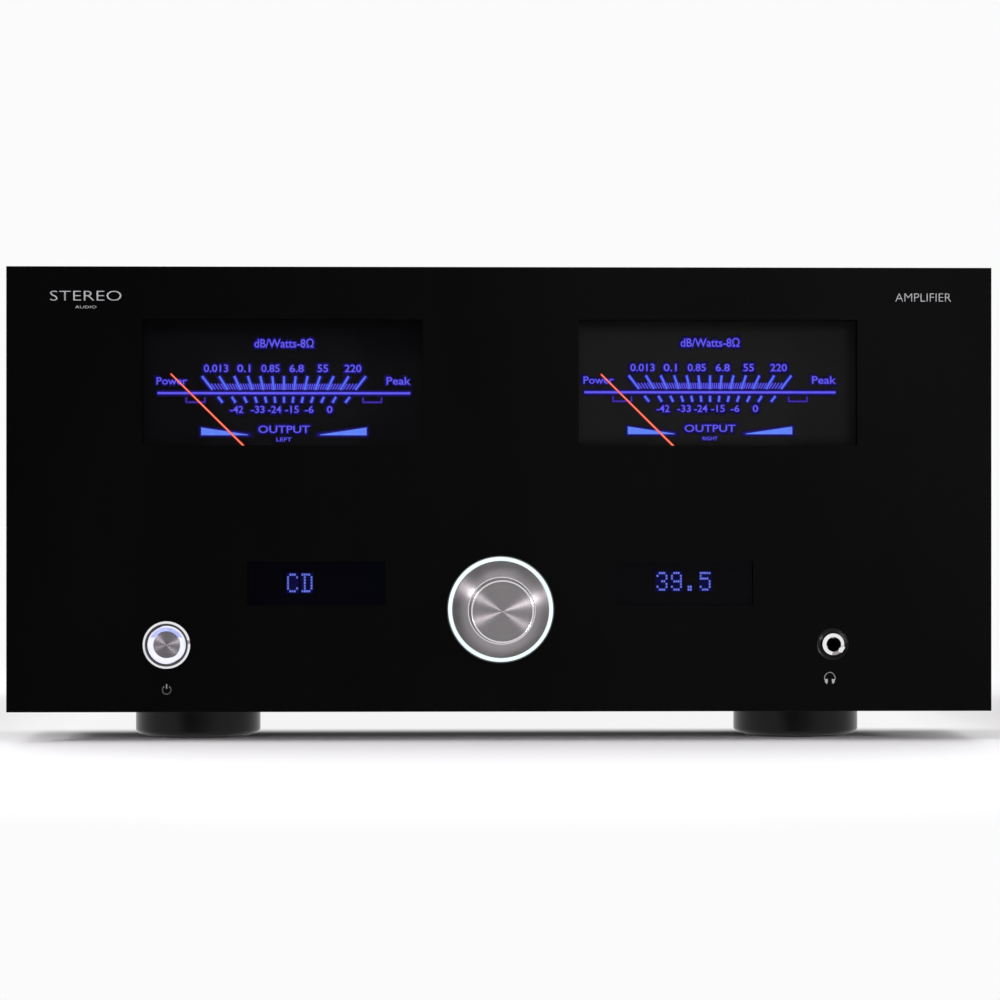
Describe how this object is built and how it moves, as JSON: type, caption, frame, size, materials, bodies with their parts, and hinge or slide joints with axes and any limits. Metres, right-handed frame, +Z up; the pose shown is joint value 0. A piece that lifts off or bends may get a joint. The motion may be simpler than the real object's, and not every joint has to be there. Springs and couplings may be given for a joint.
{
  "type": "integrated amplifier",
  "caption": "Wide, low hi-fi amplifier: black glass front with lit needle meters, displays, a glowing volume knob, power button and headphone socket, on round feet.",
  "frame": {"origin": "on the standing surface, under the middle of the overall width and of the overall length from knob face to speaker caps", "axes": "+X to the right seen from the front, +Y from the front towards the rear, +Z up; the front panel faces -Y"},
  "size_m": [0.43, 0.45, 0.2075],
  "materials": {
    "black_glass": "polished black, opaque but for the windows",
    "black_steel": "satin black powder coat",
    "grey_metal": "satin",
    "brushed_metal": "brushed in circles",
    "bright_metal": "polished plate",
    "lit_plastic": "translucent, lit from behind",
    "black_plastic": "satin moulded",
    "rubber": "matte",
    "dial_black": "matte, printed",
    "needle_red": "painted",
    "display_glass": "smoked display window",
    "circuit_board": "solder mask",
    "bare_aluminium": "as rolled",
    "winding": "varnished tape",
    "red_plastic": "moulded",
    "cable_grey": "cable sheath"
  },
  "bodies": {
    "case": {"bottom_chassis": "black_steel", "digital_sockets": "black_plastic", "encoder_body": "grey_metal", "encoder_nut": "bright_metal", "foot_front_left": "black_plastic", "foot_front_right": "black_plastic", "foot_pad_front_left": "rubber", "foot_pad_front_right": "rubber", "foot_pad_rear_left": "rubber", "foot_pad_rear_right": "rubber", "foot_rear_left": "black_plastic", "foot_rear_right": "black_plastic", "front_board": "circuit_board", "front_frame": "grey_metal", "front_glass": "black_glass", "headphone_jack": "black_plastic", "headphone_nut": "black_steel", "input_board": "circuit_board", "knob_light_ring": "lit_plastic", "left_amp_board": "circuit_board", "left_display": "display_glass", "left_heatsink": "black_steel", "left_meter_dial": "dial_black", "left_meter_housing": "black_plastic", "left_meter_movement": "grey_metal", "left_speaker_terminal": "black_plastic", "mains_lead": "cable_grey", "phono_sockets": "black_plastic", "power_bezel": "bright_metal", "power_inlet": "black_plastic", "power_light_ring": "lit_plastic", "power_nut": "bright_metal", "power_supply_board": "circuit_board", "power_switch": "black_plastic", "rear_panel": "black_steel", "ribbon_cable": "cable_grey", "right_amp_board": "circuit_board", "right_display": "display_glass", "right_heatsink": "black_steel", "right_meter_dial": "dial_black", "right_meter_housing": "black_plastic", "right_meter_movement": "grey_metal", "right_speaker_terminal": "black_plastic", "top_cover": "black_steel", "transformer": "winding", "transformer_clamp": "bare_aluminium", "xlr_socket_left": "black_plastic", "xlr_socket_right": "black_plastic"},
    "encoder_turn": {"encoder_rotor": "black_plastic"},
    "volume_knob": {"volume_knob": "brushed_metal", "encoder_shaft": "grey_metal"},
    "power_button": {"power_button": "brushed_metal"},
    "left_needle": {"left_meter_needle": "needle_red"},
    "right_needle": {"right_meter_needle": "needle_red"},
    "mains_rocker": {"mains_rocker": "black_plastic"},
    "fuse_drawer": {"fuse_drawer": "black_plastic"},
    "left_negative_cap": {"left_negative_cap": "black_plastic"},
    "left_positive_cap": {"left_positive_cap": "red_plastic"},
    "right_negative_cap": {"right_negative_cap": "black_plastic"},
    "right_positive_cap": {"right_positive_cap": "red_plastic"}
  },
  "joints": [
    {"name": "knob_turn", "type": "hinge", "parent": "case", "child": "encoder_turn", "pos_m": [0, -0.205, 0.0581], "axis": [0, 1, 0], "continuous": true},
    {"name": "knob_push", "type": "slide", "parent": "encoder_turn", "child": "volume_knob", "axis": [0, 1, 0], "range_m": [0, 0.0008], "stiffness_N_per_m": 2500, "springref_m": -0.0008},
    {"name": "power_push", "type": "slide", "parent": "case", "child": "power_button", "axis": [0, 1, 0], "range_m": [0, 0.002], "stiffness_N_per_m": 800, "springref_m": -0.001},
    {"name": "left_needle_swing", "type": "hinge", "parent": "case", "child": "left_needle", "pos_m": [-0.095, -0.1744, 0.112], "axis": [0, 1, 0], "range_deg": [0, 88], "stiffness_Nm_per_rad": 0.00006, "springref_deg": -17.19},
    {"name": "right_needle_swing", "type": "hinge", "parent": "case", "child": "right_needle", "pos_m": [0.095, -0.1744, 0.112], "axis": [0, 1, 0], "range_deg": [0, 88], "stiffness_Nm_per_rad": 0.00006, "springref_deg": -17.19},
    {"name": "mains_switch", "type": "hinge", "parent": "case", "child": "mains_rocker", "pos_m": [-0.165, 0.194, 0.0965], "axis": [-1, 0, 0], "range_deg": [0, 18]},
    {"name": "fuse_drawer_slide", "type": "slide", "parent": "case", "child": "fuse_drawer", "axis": [0, 1, 0], "range_m": [0, 0.022]},
    {"name": "left_negative_cap_turn", "type": "hinge", "parent": "case", "child": "left_negative_cap", "pos_m": [-0.092, 0.213, 0.06], "axis": [0, 1, 0], "range_deg": [0, 1440]},
    {"name": "left_positive_cap_turn", "type": "hinge", "parent": "case", "child": "left_positive_cap", "pos_m": [-0.068, 0.213, 0.06], "axis": [0, 1, 0], "range_deg": [0, 1440]},
    {"name": "right_negative_cap_turn", "type": "hinge", "parent": "case", "child": "right_negative_cap", "pos_m": [0.138, 0.213, 0.06], "axis": [0, 1, 0], "range_deg": [0, 1440]},
    {"name": "right_positive_cap_turn", "type": "hinge", "parent": "case", "child": "right_positive_cap", "pos_m": [0.162, 0.213, 0.06], "axis": [0, 1, 0], "range_deg": [0, 1440]}
  ]
}
